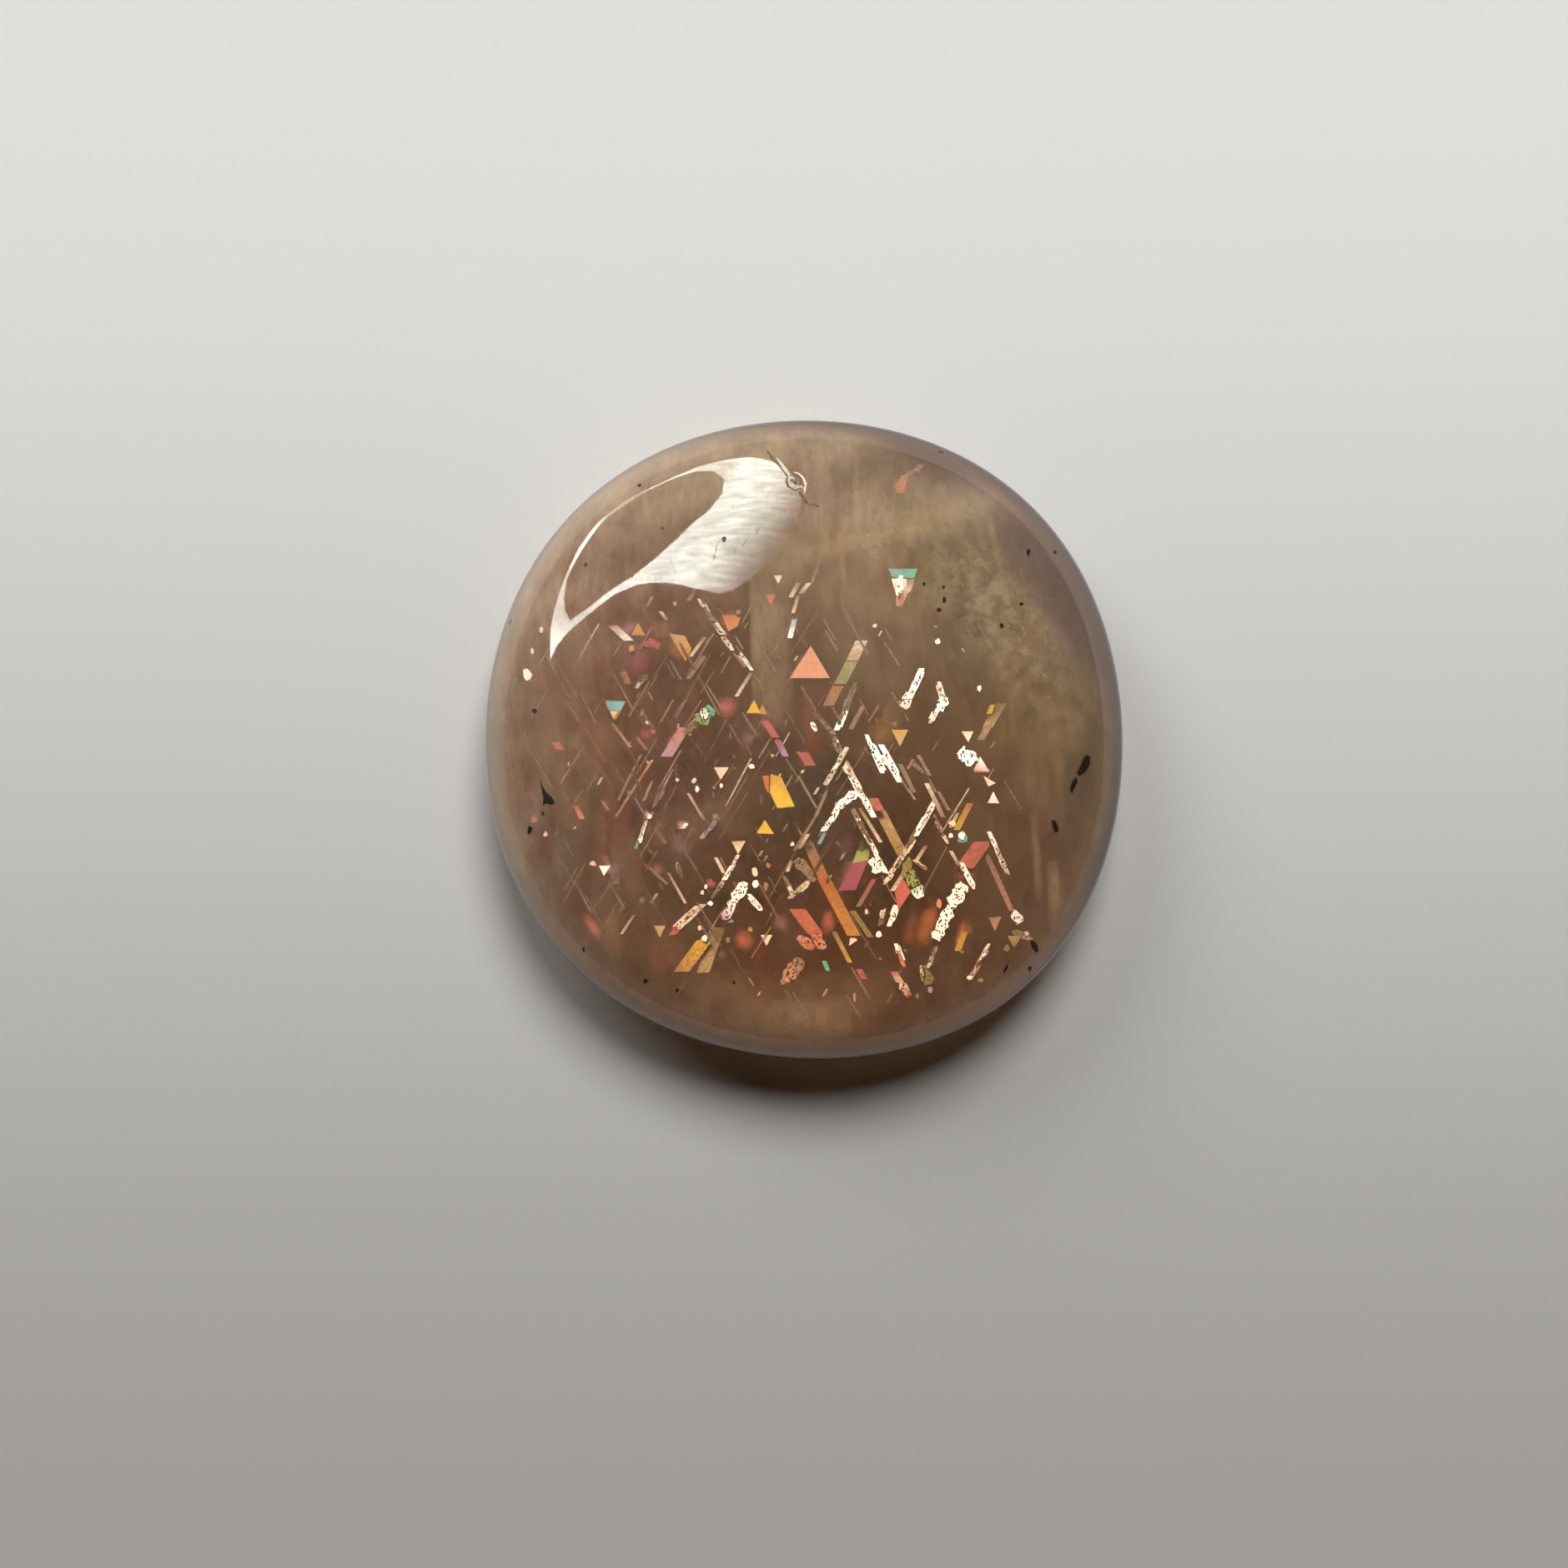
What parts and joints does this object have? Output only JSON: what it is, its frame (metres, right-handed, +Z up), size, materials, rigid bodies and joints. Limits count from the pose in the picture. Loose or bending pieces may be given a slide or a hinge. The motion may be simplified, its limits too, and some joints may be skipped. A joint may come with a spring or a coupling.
{
  "type": "rainbow lattice sunstone specimen",
  "caption": "Polished free-form cabochon of translucent brown feldspar with a domed top, a rounded girdle and a small flat underneath to rest on.",
  "frame": {"origin": "middle of the small flat underneath, in the plane that the stone rests on", "axes": "+Z up out of the dome, +Y towards the edge that has the small pit and crack, +X to the right when seen from above with +Y away"},
  "size_m": [0.0251, 0.0251, 0.0075],
  "materials": {
    "polished_feldspar": "high polish, translucent warm brown"
  },
  "bodies": {
    "root": {"sunstone": "polished_feldspar"}
  },
  "joints": []
}
